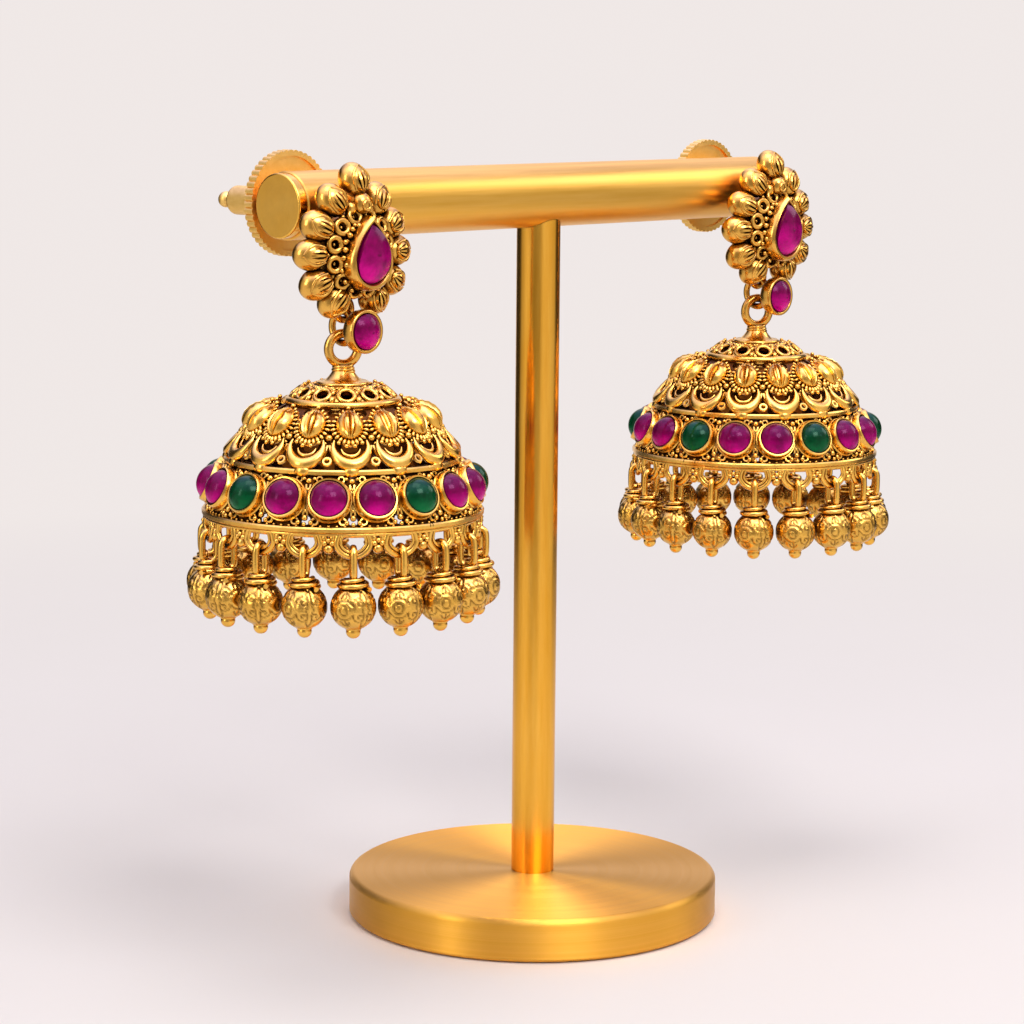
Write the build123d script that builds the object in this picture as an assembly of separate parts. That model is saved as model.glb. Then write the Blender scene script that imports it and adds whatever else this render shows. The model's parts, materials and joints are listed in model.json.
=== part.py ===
from build123d import *
import math
import os

# A pair of jhumka earrings on a plain T-bar stand, in millimetres.
# +Z is up, +X runs along the bar, and the studs face -Y.
# The origin is the centre of the stand's underside.

# ---- stand ----
base_radius = 23.2
base_thickness = 5.2
base_edge_round = 0.8
post_radius = 2.7
spigot_radius = 1.5
spigot_length = 3.0
bar_radius = 3.9
bar_axis_height = 90.3
bar_half_length = 42.1
cap_radius = 3.7
cap_proud = 1.2
fit_gap = 0.05

# ---- where each earring sits ----
stud_offset = 37.5
hang_y = -4.6
stud_back_y = -4.0
flower_height = 85.2

# ---- stud: depths are measured forwards from its back ----
plate_radius = 5.4
plate_thickness = 0.9
seed_length = 3.9
seed_width = 3.2
seed_depth = 2.2
seed_places = [  # angle from the top in degrees, distance from the flower's centre
    (0, 8.1),
    (30, 6.7),
    (61, 6.3),
    (90, 6.5),
    (120, 6.5),
    (150, 6.1),
]
curl_radius = 0.62
curl_wire = 0.33
curl_depth = 3.2
curl_count = 12
curl_spread = 4.35
pear_half_width = 2.45
pear_height = 6.7
pear_side_arc = 6.8
bezel_wall = 0.55
core_flare = 0.75
core_depth = 3.6
bezel_front = 5.6
stone_seat = 4.5
pear_dome_radius = 5.2
pear_dome_rise = 0.95
ear_post_radius = 0.5
ear_post_reach = 15.5
post_hole_radius = 0.7

# ---- screw back ----
disc_radius = 6.1
disc_thickness = 1.3
tooth_count = 48
tooth_radius = 0.42
dish_radius = 5.4
dish_depth = 0.3
barrel_radius = 1.7
barrel_length = 8.3
barrel_tip_radius = 0.95
barrel_tip_reach = 1.6
barrel_neck_radius = 0.6
screw_bore_radius = 0.6

# ---- rings that carry the drop ----
loop_wire = 0.42
stud_loop_radius = 1.2
link_ring_radius = 1.8
bell_ring_radius = 1.75
bell_ring_wire = 0.55
bell_ring_height = 74.2
bell_ring_turn = -24.0
ring_gap = 0.12
link_bezel_radius = 2.5
link_bezel_height = 76.4
link_bezel_back = 1.9
link_bezel_front = 4.0
link_bezel_round = 0.7

# ---- round stones ----
stone_radius = 2.0
stone_rise = 1.15
stone_play = 0.04

# ---- bell ----
dome_centre = 56.3
dome_outer = 13.7
dome_inner = 12.75
petal_count = 15
petal_polar = 40.0
petal_half_length = 2.4
petal_half_width = 1.4
petal_back_radius = 1.9
petal_back_rise = 2.2
petal_plate_radius = 1.9
petal_plate_rise = 0.6
crescent_polar = 55.5
crescent_radius = 2.3
crescent_bite_radius = 1.95
crescent_bite_lift = 1.0
crescent_rise = 1.25
setting_count = 18
wall_top = (13.0, 61.6)
wall_foot = (15.5, 56.0)
wall_thickness = 0.8
setting_radius = 2.35
setting_rise = 1.3
setting_floor = 0.4
upper_band = (12.3, 13.55, 61.5, 62.2)  # inner radius, outer radius, bottom, top
lower_band = (15.0, 16.12, 55.2, 56.15)
crown_rim_radius = 6.1
crown_rim_height = 68.55
crown_rim_wire = 0.38
crown_top = (2.5, 70.6)
crown_thickness = 0.75
crown_hole_count = 12
flange_radius = 2.87
flange_height = 70.3
neck_radius = 0.95
fringe_radius = 15.52
fringe_loop_radius = 1.62
fringe_loop_height = 54.64
granule_radius = 0.58
granule_bar = 1.5

# ---- drops ----
pin_wire = 0.34
pin_eye_radius = 0.86
pin_shaft = 0.35
bead_radius = 2.53
bead_height = 47.3
bead_top_cut = 1.9
bead_foot_cut = 2.35
bead_bore = 0.47
collar_turns = [(1.6, 0.29), (1.28, 0.27)]  # ring radius and wire radius, lower turn first
collar_core = (1.45, 0.85)
collar_height = 1.1
pin_head_radius = 0.85

# ---- turn of each bell about its own axis, in degrees ----
bell_turn = {"left": -129.5, "right": -100.8}
side_sign = {"left": -1, "right": 1}


def section(points):
    """A flat face in the XZ plane, from (radius, height) corners."""
    return Plane.XZ * make_face(Polyline(*points, close=True))


def square_ring(inner, outer, low, high):
    return revolve(section([(inner, low), (outer, low), (outer, high), (inner, high)]), Axis.Z)


def ring_at(centre, radius, wire, axis):
    """A round wire ring about the given axis."""
    return Plane(origin=centre, z_dir=axis).location * Torus(radius, wire)


def fused(body, pieces):
    """One solid from a body and all the pieces soldered to it."""
    return body + list(pieces)


def dome_place(polar, azimuth, distance):
    """On the dome: local Z points outwards and local Y up the dome."""
    p, a = math.radians(polar), math.radians(azimuth)
    out = Vector(math.sin(p) * math.cos(a), math.sin(p) * math.sin(a), math.cos(p))
    return Plane(
        origin=Vector(0, 0, dome_centre) + out * distance,
        x_dir=(-math.sin(a), math.cos(a), 0),
        z_dir=out,
    ).location


def wall_place(azimuth, share, lift=0.0):
    """On the stone wall, at a share of the way down it: local Z points outwards."""
    a = math.radians(azimuth)
    run, drop = wall_foot[0] - wall_top[0], wall_foot[1] - wall_top[1]
    slant = math.hypot(run, drop)
    out_r, out_z = -drop / slant, run / slant
    radius = wall_top[0] + run * share + out_r * lift
    height = wall_top[1] + drop * share + out_z * lift
    return Plane(
        origin=(radius * math.cos(a), radius * math.sin(a), height),
        x_dir=(-math.sin(a), math.cos(a), 0),
        z_dir=(out_r * math.cos(a), out_r * math.sin(a), out_z),
    ).location


def around(count, start=0.0):
    return [start + 360 / count * i for i in range(count)]


# ---- stand ----


def stand_base():
    disc = Pos(0, 0, base_thickness / 2) * Cylinder(base_radius, base_thickness)
    disc = fillet(disc.edges().group_by(Axis.Z)[-1], base_edge_round)
    disc = chamfer(disc.edges().group_by(Axis.Z)[0], 0.3)
    depth = spigot_length + 0.2
    return disc - Pos(0, 0, base_thickness - depth / 2) * Cylinder(spigot_radius + fit_gap, depth)


def stand_post():
    foot = base_thickness + 0.02
    length = bar_axis_height - foot
    post = Pos(0, 0, foot + length / 2) * Cylinder(post_radius, length)
    spigot = Pos(0, 0, foot - spigot_length / 2) * Cylinder(spigot_radius, spigot_length)
    saddle = Pos(0, 0, bar_axis_height) * Rot(0, 90, 0) * Cylinder(bar_radius + 0.03, 20)
    return post + spigot - saddle


def stand_bar():
    bar = Rot(0, 90, 0) * Cylinder(bar_radius, 2 * bar_half_length)
    bar = chamfer(bar.edges().filter_by(GeomType.CIRCLE), 0.15)
    for sign in (-1, 1):
        seat = Pos(sign * bar_half_length, 0, 0) * Rot(0, 90, 0)
        bar -= seat * Cylinder(spigot_radius + fit_gap, 2 * spigot_length + 0.4)
        bar -= Pos(sign * stud_offset, 0, 0) * Rot(90, 0, 0) * Cylinder(post_hole_radius, 20)
    return Pos(0, 0, bar_axis_height) * bar


def end_cap(sign):
    inner = bar_half_length + 0.02
    disc = Pos(0, 0, inner + cap_proud / 2) * Cylinder(cap_radius, cap_proud)
    disc = fillet(disc.edges().group_by(Axis.Z)[-1], 0.22)
    spigot = Pos(0, 0, inner - spigot_length / 2) * Cylinder(spigot_radius, spigot_length)
    return Pos(0, 0, bar_axis_height) * Rot(0, 90 * sign, 0) * (disc + spigot)


# ---- stud ----


def pear_outline(grow=0.0):
    """A pear shape, point up, from three arcs that meet smoothly at its sides."""
    round_radius = pear_half_width + grow
    tip = pear_height / 2 + grow * 1.35
    centre = pear_half_width - pear_height / 2
    arc = pear_side_arc + grow
    v = (tip**2 - centre**2 - 2 * arc * round_radius + round_radius**2) / (2 * (tip - centre))
    u = math.sqrt(arc**2 - (tip - v) ** 2)
    reach = math.hypot(u, centre - v)
    join = (round_radius * u / reach, centre + round_radius * (centre - v) / reach)
    start = math.atan2(tip - v, u)
    end = math.atan2(join[1] - v, join[0] + u)
    half = (start + end) / 2
    bulge = (arc * math.cos(half) - u, arc * math.sin(half) + v)
    return make_face(
        ThreePointArc((0, tip), bulge, join)
        + ThreePointArc(join, (0, centre - round_radius), (-join[0], join[1]))
        + ThreePointArc((-join[0], join[1]), (-bulge[0], bulge[1]), (0, tip))
    )


def seed():
    """A plump seed along local Y: its tip towards the flower's middle, its round end outside."""
    radius, half = seed_width / 2, seed_length / 2
    centre = half - radius
    lean = math.radians(32)
    edge_x, edge_y = radius * math.cos(lean), centre - radius * math.sin(lean)
    outline = (
        ThreePointArc((0, half), (radius * math.cos(0.3), centre + radius * math.sin(0.3)), (edge_x, edge_y))
        + Polyline((edge_x, edge_y), (0.35, -half), (0, -half), (0, half))
    )
    return revolve(make_face(outline), Axis.Y)


def stud_frame(sign):
    """Local X is the row's X, local Y is up and local Z points out of the flower."""
    return Plane(
        origin=(sign * stud_offset, stud_back_y, flower_height), x_dir=(1, 0, 0), z_dir=(0, -1, 0)
    ).location


def stud(sign):
    plate = Pos(0, 0, plate_thickness / 2) * Cylinder(plate_radius, plate_thickness)
    core = extrude(pear_outline(core_flare), core_depth)
    bezel = extrude(Pos(0, 0, core_depth - 0.3) * pear_outline(bezel_wall), bezel_front - core_depth + 0.3)
    pieces = [core, bezel]
    for angle, distance in seed_places:
        for way in {1, -1} if angle else {1}:
            turn = Rot(0, 0, -angle * way)
            pieces.append(turn * Pos(0, distance, seed_depth) * seed())
            stalk_length = distance - plate_radius + 1.2
            stalk = Box(1.6, stalk_length, plate_thickness)
            pieces.append(turn * Pos(0, distance - stalk_length / 2 + 0.4, plate_thickness / 2) * stalk)
            pieces.append(turn * Pos(0, distance, 0.9) * Cylinder(0.8, 1.8))
    for angle in around(curl_count, 15):
        arm = Pos(0, curl_spread - 0.7, curl_depth - 0.5) * Box(0.7, 1.6, 0.7)
        pieces.append(Rot(0, 0, angle) * Pos(0, curl_spread, curl_depth) * Torus(curl_radius, curl_wire))
        pieces.append(Rot(0, 0, angle) * arm)
    loop_y = stud_loop_centre() - flower_height
    loop_z = stud_back_y - hang_y
    pieces.append(Pos(0, loop_y, loop_z) * Torus(stud_loop_radius, loop_wire))
    post_y = bar_axis_height - flower_height
    pieces.append(Pos(0, post_y, 0.3 - ear_post_reach / 2) * Cylinder(ear_post_radius, ear_post_reach))
    body = fused(plate, pieces)
    body -= Pos(0, 0, stone_seat) * extrude(pear_outline(stone_play), 5)
    body -= Pos(0, loop_y, 1.0) * Cylinder(stud_loop_radius - loop_wire + 0.08, 4)
    return stud_frame(sign) * body


def pear_stone(sign):
    low = stone_seat + 0.03
    top = bezel_front + pear_dome_rise
    prism = Pos(0, 0, low) * extrude(pear_outline(), top - low)
    ball = Pos(0, 0, top - pear_dome_radius) * Sphere(pear_dome_radius)
    return stud_frame(sign) * (prism & ball)


# ---- screw back ----


def screw_back(sign):
    rim = Circle(disc_radius - tooth_radius + 0.02) + [
        Rot(0, 0, a) * Pos(disc_radius - tooth_radius, 0) * Circle(tooth_radius)
        for a in around(tooth_count)
    ]
    disc = extrude(rim, disc_thickness)
    barrel_end = disc_thickness + barrel_length
    barrel = Pos(0, 0, barrel_end / 2) * Cylinder(barrel_radius, barrel_end)
    barrel = fillet(barrel.edges().group_by(Axis.Z)[-1], 0.5)
    neck = Pos(0, 0, barrel_end) * Cylinder(barrel_neck_radius, 2 * barrel_tip_reach)
    tip = Pos(0, 0, barrel_end + barrel_tip_reach) * Sphere(barrel_tip_radius)
    bore_depth = ear_post_reach - 2 * bar_radius + 0.4
    bore = Pos(0, 0, bore_depth / 2) * Cylinder(screw_bore_radius, bore_depth)
    dish = Pos(0, 0, dish_depth / 2) * Cylinder(dish_radius, dish_depth)
    body = disc + barrel + neck + tip - bore - dish
    front = bar_radius + 0.1
    return Plane(
        origin=(sign * stud_offset, front, bar_axis_height), x_dir=(1, 0, 0), z_dir=(0, 1, 0)
    ).location * body


# ---- rings between stud and bell ----


def link_foot():
    """Height of the centre of the link ring's lowest wire, hanging in the bell's ring."""
    return bell_ring_height + bell_ring_radius - bell_ring_wire - ring_gap - loop_wire


def link_centre():
    return link_foot() + link_ring_radius


def stud_loop_foot():
    """Height of the centre of the stud loop's lowest wire, inside the link ring."""
    return link_centre() + link_ring_radius - 2 * loop_wire - ring_gap


def stud_loop_centre():
    return stud_loop_foot() + stud_loop_radius


def cabochon(radius, girdle, rise):
    """A round polished stone standing on local Z."""
    dome = (radius**2 + rise**2) / (2 * rise)
    edge = ThreePointArc(
        (radius, girdle),
        (dome * math.sin(math.asin(radius / dome) / 2),
         girdle + rise - dome + dome * math.cos(math.asin(radius / dome) / 2)),
        (0, girdle + rise),
    )
    outline = Polyline((0, girdle + rise), (0, 0), (radius, 0), (radius, girdle)) + edge
    return revolve(Plane.XZ * make_face(outline), Axis.Z)


def link_frame(sign):
    return Plane(
        origin=(sign * stud_offset, hang_y, link_bezel_height), x_dir=(1, 0, 0), z_dir=(0, -1, 0)
    ).location


def link(sign):
    ring = ring_at((sign * stud_offset, hang_y, link_centre()), link_ring_radius, loop_wire, (1, 0, 0))
    depth = link_bezel_front - link_bezel_back
    cup = Cylinder(link_bezel_radius, depth)
    cup = fillet(cup.edges().group_by(Axis.Z)[0], link_bezel_round)
    cup = fillet(cup.edges().group_by(Axis.Z)[-1], 0.15)
    cup = Pos(0, 0, link_bezel_back + depth / 2) * cup
    seat = Pos(0, 0, link_bezel_front - 0.4) * Cylinder(stone_radius + stone_play, 0.8)
    return ring + link_frame(sign) * (cup - seat)


def link_stone(sign):
    seat = link_bezel_front - 0.8 + 0.03
    return link_frame(sign) * Pos(0, 0, seat) * cabochon(stone_radius, 0.75, 0.95)


# ---- bell ----


def turned_body():
    """Crown, dome wall, stone wall and both bands, turned as one profile."""
    low, high = upper_band[2] + 0.1, crown_rim_height + 0.1
    half = math.radians(30)
    arc_points = []
    for radius in (dome_outer, dome_inner):
        foot = (math.sqrt(radius**2 - (low - dome_centre) ** 2), low)
        head = (math.sqrt(radius**2 - (high - dome_centre) ** 2), high)
        mid = (radius * math.cos(half * 1.35), dome_centre + radius * math.sin(half * 1.35))
        arc_points.append((foot, mid, head))
    (o_foot, o_mid, o_head), (i_foot, i_mid, i_head) = arc_points
    dome = make_face(
        ThreePointArc(o_foot, o_mid, o_head)
        + Line(o_head, i_head)
        + ThreePointArc(i_head, i_mid, i_foot)
        + Line(i_foot, o_foot)
    )
    slope = wall_thickness / math.cos(math.atan2(wall_foot[0] - wall_top[0], wall_top[1] - wall_foot[1]))
    wall = make_face(
        Polyline(
            wall_top,
            wall_foot,
            (wall_foot[0] - slope, wall_foot[1]),
            (wall_top[0] - slope, wall_top[1]),
            close=True,
        )
    )
    crown_edge = (crown_rim_radius, crown_rim_height)
    crown = make_face(
        ThreePointArc(crown_edge, (4.75, 69.95), crown_top)
        + Polyline(crown_top, (0, crown_top[1]), (0, crown_top[1] - crown_thickness))
        + Line((0, crown_top[1] - crown_thickness), (crown_top[0], crown_top[1] - crown_thickness))
        + ThreePointArc(
            (crown_top[0], crown_top[1] - crown_thickness),
            (4.4, 69.25),
            (crown_rim_radius - crown_thickness, crown_rim_height),
        )
        + Line((crown_rim_radius - crown_thickness, crown_rim_height), crown_edge)
    )
    flange = make_face(
        Polyline(
            (0, flange_height),
            (flange_radius, flange_height),
            (flange_radius, flange_height + 0.35),
            (neck_radius + 0.3, flange_height + 0.95),
            (neck_radius, bell_ring_height - bell_ring_radius),
            (0, bell_ring_height - bell_ring_radius),
            close=True,
        )
    )
    profile = Plane.XZ * (dome + wall + crown + flange)
    body = revolve(profile, Axis.Z)
    bands = [square_ring(*upper_band), square_ring(*lower_band)]
    rim = Pos(0, 0, crown_rim_height) * Torus(crown_rim_radius, crown_rim_wire)
    return fused(body, [*bands, rim])


def petal():
    """A leaf pointed at both ends along local Y, with a rounded back."""
    tip = (0, petal_half_length)
    side = ThreePointArc(tip, (petal_half_width, 0), (0, -petal_half_length))
    leaf = extrude(make_face(side + mirror(side, Plane.YZ)), 2.4)
    back = Pos(0, 0, petal_back_rise - petal_back_radius) * Rot(90, 0, 0)
    return leaf & back * Cylinder(petal_back_radius, 2 * petal_half_length + 1)


def crescent():
    """A moon with its horns up, cut from a disc, standing out of the dome."""
    moon = Circle(crescent_radius) - Pos(0, crescent_bite_lift) * Circle(crescent_bite_radius)
    return extrude(moon, crescent_rise + 1.0)


def setting():
    """An open cup that stands out of the wall."""
    height = setting_rise + 0.6
    return Pos(0, 0, height / 2 - 0.6) * Cylinder(setting_radius, height)


def fringe_loop():
    """A hanging U of wire below the lower band, in the XZ plane."""
    top, r, h = lower_band[2] + 0.4, fringe_loop_radius, fringe_loop_height
    path = (
        Line((-r, 0, top), (-r, 0, h))
        + ThreePointArc((-r, 0, h), (0, 0, h - r), (r, 0, h))
        + Line((r, 0, h), (r, 0, top))
    )
    return sweep(Pos(-r, 0, top) * Circle(loop_wire), path=path)


def granule():
    """A short bar soldered under the band between two loops, with a grain below it."""
    bar_low = lower_band[2] - 0.45
    bar = Pos(0, 0, bar_low + 0.35) * Box(granule_bar, 0.98, 0.7)
    grain = Sphere(granule_radius) & Cylinder(granule_radius, granule_radius * 1.9)
    return bar + Pos(0, 0, bar_low - granule_radius * 0.7) * grain


def fringe_place(azimuth):
    return Rot(0, 0, azimuth + 90) * Pos(0, -fringe_radius, 0)


def bell_body():
    body = turned_body()
    pieces, cuts = [], []
    for a in around(petal_count):
        plate_height = dome_outer - dome_inner + petal_plate_rise - 0.3
        plate = Pos(0, -0.3, plate_height / 2) * Cylinder(petal_plate_radius, plate_height)
        pieces.append(dome_place(petal_polar, a, dome_inner + 0.3) * plate)
        pieces.append(dome_place(petal_polar, a, dome_outer - 0.8) * petal())
        pieces.append(dome_place(crescent_polar, a, dome_outer - 1.0) * crescent())
        cuts.append(dome_place(32.0, a + 12, dome_inner - 1) * Pos(0, 0, 1.5) * Cylinder(0.7, 3))
        wedge = make_face(Polyline((-1.0, -1.1), (1.0, -1.1), (0, 1.2), close=True))
        cuts.append(dome_place(61.5, a + 12, dome_inner - 1) * extrude(wedge, 4))
    for a in around(setting_count):
        pieces.append(wall_place(a + 10, 0.5) * setting())
        seat = Pos(0, 0, setting_floor + 1) * Cylinder(stone_radius + stone_play, 2)
        cuts.append(wall_place(a + 10, 0.5) * seat)
        cuts.append(wall_place(a, 0.19) * Cylinder(0.55, 4))
        pieces.append(fringe_place(a) * fringe_loop())
        pieces.append(fringe_place(a + 10) * granule())
    crown_tilt = 29.0
    for a in around(crown_hole_count):
        hole = Rot(0, 0, a) * Pos(4.65, 0, 69.6) * Rot(0, crown_tilt, 0) * Cylinder(0.62, 3)
        cuts.append(hole)
    return fused(body, pieces) - cuts


def bell_ring(side):
    a = math.radians(bell_ring_turn)
    centre = (side_sign[side] * stud_offset, hang_y, bell_ring_height)
    return ring_at(centre, bell_ring_radius, bell_ring_wire, (math.sin(a), -math.cos(a), 0))


def bell_frame(side):
    return Pos(side_sign[side] * stud_offset, hang_y, 0) * Rot(0, 0, bell_turn[side])


def band_stone(side, index):
    place = wall_place(360 / setting_count * index + 10, 0.5, setting_floor + 0.03)
    return bell_frame(side) * place * cabochon(stone_radius, setting_rise - setting_floor, stone_rise)


# ---- drops ----


def drop_bead():
    ball = Sphere(bead_radius)
    span = bead_top_cut + bead_foot_cut
    ball &= Pos(0, 0, (bead_top_cut - bead_foot_cut) / 2) * Cylinder(bead_radius + 1, span)
    return Pos(0, 0, bead_height) * (ball - Cylinder(bead_bore, 3 * bead_radius))


def drop_pin():
    """A head pin: a long eye in the YZ plane, wire wrapped round its neck, and a shaft down the bead."""
    neck_foot = bead_height + bead_top_cut + 0.05
    wide, narrow = collar_core
    neck_top = neck_foot + collar_height
    corners = [(0, neck_foot), (wide, neck_foot), (narrow, neck_top), (0, neck_top)]
    profile = make_face(Polyline(*corners, close=True))
    height = neck_foot
    for turn, wire in collar_turns:
        height += wire
        profile += Pos(turn, height) * RegularPolygon(wire, 8)
        height += wire * 0.75
    head = bead_height - bead_foot_cut - 0.05
    shaft_length = neck_foot - head + 0.5
    profile += Pos(0, head + shaft_length / 2 - 0.2) * Rectangle(2 * pin_shaft, shaft_length)
    profile += Pos(0, head) * (Circle(pin_head_radius) & Pos(0, -1) * Rectangle(4, 2))
    profile &= Pos(5, neck_foot) * Rectangle(10, 40)
    neck = revolve(Plane.XZ * profile, Axis.Z)
    radius = pin_eye_radius
    top = lower_loop_top() + ring_gap + pin_wire - radius
    foot = neck_top + radius
    path = (
        ThreePointArc((0, -radius, top), (0, 0, top + radius), (0, radius, top))
        + Line((0, radius, top), (0, radius, foot))
        + ThreePointArc((0, radius, foot), (0, 0, foot - radius), (0, -radius, foot))
        + Line((0, -radius, foot), (0, -radius, top))
    )
    return neck + sweep(Pos(0, -radius, (top + foot) / 2) * Circle(pin_wire), path=path)


def lower_loop_top():
    return fringe_loop_height - fringe_loop_radius + loop_wire


def drops(side, piece):
    places = [bell_frame(side) * fringe_place(a) for a in around(setting_count)]
    return Compound(children=[place * piece for place in places])


# ---- write every node ----


def write(name, shape):
    solids = shape.solids()
    node = solids[0] if len(solids) == 1 else Compound(solids)
    export_step(node, f"parts/{name}.step")
    print(name, len(solids), round(node.volume, 2))


os.makedirs("parts", exist_ok=True)
write("stand_base", stand_base())
write("stand_post", stand_post())
write("stand_bar", stand_bar())
one_bell, one_bead, one_pin = bell_body(), drop_bead(), drop_pin()
for side, sign in side_sign.items():
    write(f"{side}_end_cap", end_cap(sign))
    write(f"{side}_stud", stud(sign))
    write(f"{side}_pear_stone", pear_stone(sign))
    write(f"{side}_screw_back", screw_back(sign))
    write(f"{side}_link", link(sign))
    write(f"{side}_link_stone", link_stone(sign))
    write(f"{side}_bell", bell_frame(side) * one_bell + bell_ring(side))
    for index in range(setting_count):
        write(f"{side}_band_stone_{index + 1:02d}", band_stone(side, index))
    write(f"{side}_drop_beads", drops(side, one_bead))
    write(f"{side}_drop_pins", drops(side, one_pin))
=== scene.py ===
import json
import math
import random

import bmesh
import bpy
from mathutils import Matrix, Vector


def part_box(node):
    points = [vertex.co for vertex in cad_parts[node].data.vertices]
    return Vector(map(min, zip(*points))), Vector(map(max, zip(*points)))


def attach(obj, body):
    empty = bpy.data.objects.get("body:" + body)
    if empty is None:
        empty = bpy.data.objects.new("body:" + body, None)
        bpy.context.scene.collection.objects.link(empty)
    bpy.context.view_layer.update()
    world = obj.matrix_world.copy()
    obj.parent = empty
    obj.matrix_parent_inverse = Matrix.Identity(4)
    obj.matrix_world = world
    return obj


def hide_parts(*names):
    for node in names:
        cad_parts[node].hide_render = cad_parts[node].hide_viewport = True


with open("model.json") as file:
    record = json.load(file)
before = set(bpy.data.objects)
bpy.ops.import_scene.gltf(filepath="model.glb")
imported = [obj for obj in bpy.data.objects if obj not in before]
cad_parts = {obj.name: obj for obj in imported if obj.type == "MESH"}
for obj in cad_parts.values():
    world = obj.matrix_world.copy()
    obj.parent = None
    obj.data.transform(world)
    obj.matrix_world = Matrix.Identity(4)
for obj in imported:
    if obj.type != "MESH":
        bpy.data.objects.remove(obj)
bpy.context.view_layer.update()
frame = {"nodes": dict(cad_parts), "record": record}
random.seed(11)
metre = 0.001  # pieces are modelled in millimetres and scaled down once placed
sides = ("left", "right")

# small helpers


def deselectAll():
    bpy.ops.object.select_all(action="DESELECT")


def activate(piece):
    deselectAll()
    piece.select_set(True)
    bpy.context.view_layer.objects.active = piece


def settle(piece):
    activate(piece)
    bpy.ops.object.transform_apply(location=True, rotation=True, scale=True)
    return piece


def joinPieces(parts, name="part"):
    deselectAll()
    for part in parts:
        part.select_set(True)
    bpy.context.view_layer.objects.active = parts[0]
    if len(parts) > 1:
        bpy.ops.object.join()
    whole = settle(bpy.context.view_layer.objects.active)
    whole.name = name
    whole.data.name = name
    return whole


def copiesAt(part, places):
    made = []
    for place in places:
        twin = part.copy()
        twin.data = part.data.copy()
        twin.data.transform(place)
        bpy.context.collection.objects.link(twin)
        made.append(twin)
    bpy.data.objects.remove(part)
    return made


def editPart(part):
    activate(part)
    bpy.ops.object.mode_set(mode="EDIT")
    bpy.ops.mesh.select_mode(type="VERT")
    bpy.ops.mesh.select_all(action="DESELECT")
    return bmesh.from_edit_mesh(part.data)


def pickVerts(part, shape, test):
    for vert in shape.verts:
        vert.select_set(bool(test(vert.co)))
    shape.select_flush(True)
    bmesh.update_edit_mesh(part.data)


def leaveEdit():
    bpy.ops.object.mode_set(mode="OBJECT")


def sizeVerts(part, test, value):
    shape = editPart(part)
    pickVerts(part, shape, test)
    bpy.ops.transform.resize(value=value, center_override=(0, 0, 0))
    leaveEdit()


def smooth(part, degrees=35):
    activate(part)
    bpy.ops.object.shade_smooth_by_angle(angle=math.radians(degrees))
    return part


def ball(radius, at=(0, 0, 0), stretch=(1, 1, 1), detail=2, turn=0.0):
    bpy.ops.mesh.primitive_ico_sphere_add(
        subdivisions=detail, radius=radius, location=at, scale=stretch, rotation=(0, 0, turn)
    )
    return bpy.context.object


def ring(radius, wire, at=(0, 0, 0), turn=(0, 0, 0), around=24, section=8):
    bpy.ops.mesh.primitive_torus_add(
        location=at,
        rotation=turn,
        major_radius=radius,
        minor_radius=wire,
        major_segments=around,
        minor_segments=section,
    )
    return bpy.context.object


def bentWire(points, wire, closed=False, thickness=None, roundness=2, stepsPerPoint=3):
    bpy.ops.curve.primitive_nurbs_path_add(location=(0, 0, 0))
    part = bpy.context.object
    curve = part.data
    curve.splines.clear()
    spline = curve.splines.new("NURBS")
    spline.points.add(len(points) - 1)
    for i, place in enumerate(points):
        spline.points[i].co = (*place, 1)
        spline.points[i].radius = thickness[i] if thickness else 1
    spline.order_u = 3
    spline.use_cyclic_u = closed
    spline.use_endpoint_u = not closed
    spline.resolution_u = stepsPerPoint
    curve.bevel_depth = wire
    curve.bevel_resolution = roundness
    curve.use_fill_caps = True
    activate(part)
    bpy.ops.object.convert(target="MESH")
    return bpy.context.object


def turned(profile, steps):
    bpy.ops.mesh.primitive_plane_add(size=0.1, location=(0, 0, 0))
    part = bpy.context.object
    bpy.ops.object.mode_set(mode="EDIT")
    bpy.ops.mesh.select_mode(type="VERT")
    bpy.ops.mesh.select_all(action="SELECT")
    bpy.ops.mesh.merge(type="CENTER")
    bpy.ops.transform.translate(value=(profile[0][0], 0, profile[0][1]))
    path = profile + profile[:1]
    for here, there in zip(path, path[1:]):
        step = (there[0] - here[0], 0, there[1] - here[1])
        bpy.ops.mesh.extrude_region_move(TRANSFORM_OT_translate={"value": step})
    bpy.ops.mesh.select_all(action="SELECT")
    bpy.ops.mesh.remove_doubles(threshold=0.001)
    bpy.ops.mesh.spin(steps=steps, angle=2 * math.pi, center=(0, 0, 0), axis=(0, 0, 1))
    bpy.ops.mesh.select_all(action="SELECT")
    bpy.ops.mesh.remove_doubles(threshold=0.001)
    bpy.ops.mesh.normals_make_consistent(inside=False)
    leaveEdit()
    return part


def pierce(part, cutters):
    cutter = joinPieces(cutters, "cutter")
    activate(part)
    cut = part.modifiers.new("pierced", "BOOLEAN")
    cut.operation = "DIFFERENCE"
    cut.object = cutter
    bpy.ops.object.modifier_apply(modifier=cut.name)
    bpy.data.objects.remove(cutter)
    return part


def frameOf(origin, xAxis, zAxis):
    x, z = Vector(xAxis).normalized(), Vector(zAxis).normalized()
    y = z.cross(x)
    return Matrix.Translation(Vector(origin)) @ Matrix((x, y, z)).transposed().to_4x4()


def around(count, start=0.0):
    return [math.radians(start + 360 / count * i) for i in range(count)]


def aboutZ(angle):
    return Matrix.Rotation(angle, 4, "Z")


def arcPoints(radius, start, end, count, centre=(0, 0)):
    made = []
    for i in range(count):
        a = math.radians(start + (end - start) * i / (count - 1))
        made.append((centre[0] + radius * math.cos(a), centre[1] + radius * math.sin(a)))
    return made


# materials


def newMaterial(name):
    material = bpy.data.materials.new(name)
    material.use_nodes = True
    tree = material.node_tree
    shader = tree.nodes["Principled BSDF"]
    place = tree.nodes.new("ShaderNodeTexCoord")
    return material, tree, shader, place.outputs["Object"]


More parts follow.
